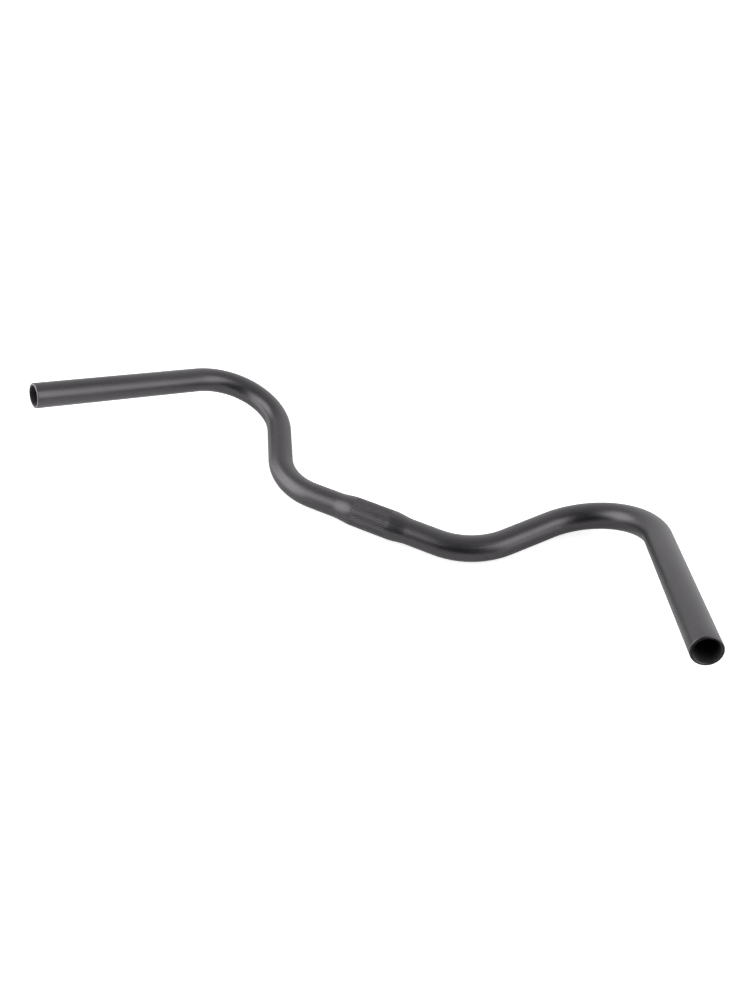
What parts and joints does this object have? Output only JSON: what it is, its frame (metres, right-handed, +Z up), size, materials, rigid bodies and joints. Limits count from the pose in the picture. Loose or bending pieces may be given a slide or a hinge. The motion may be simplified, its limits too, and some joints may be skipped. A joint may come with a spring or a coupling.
{
  "type": "bicycle handlebar",
  "caption": "Swept-back bicycle handlebar: one bent round tube with a thicker, knurled clamp section in the middle and open grip ends.",
  "frame": {"origin": "centre of the clamp section, on the tube's axis", "axes": "+X along the clamp section, across the bicycle; +Y towards the forward bends, away from the rider; +Z up as the bar lies at rest on its clamp section and its two forward bends, so that the grips rise to the rear"},
  "size_m": [0.5952, 0.176, 0.1066],
  "materials": {
    "black_tube": "satin black anodised"
  },
  "bodies": {
    "root": {"handlebar": "black_tube"}
  },
  "joints": []
}
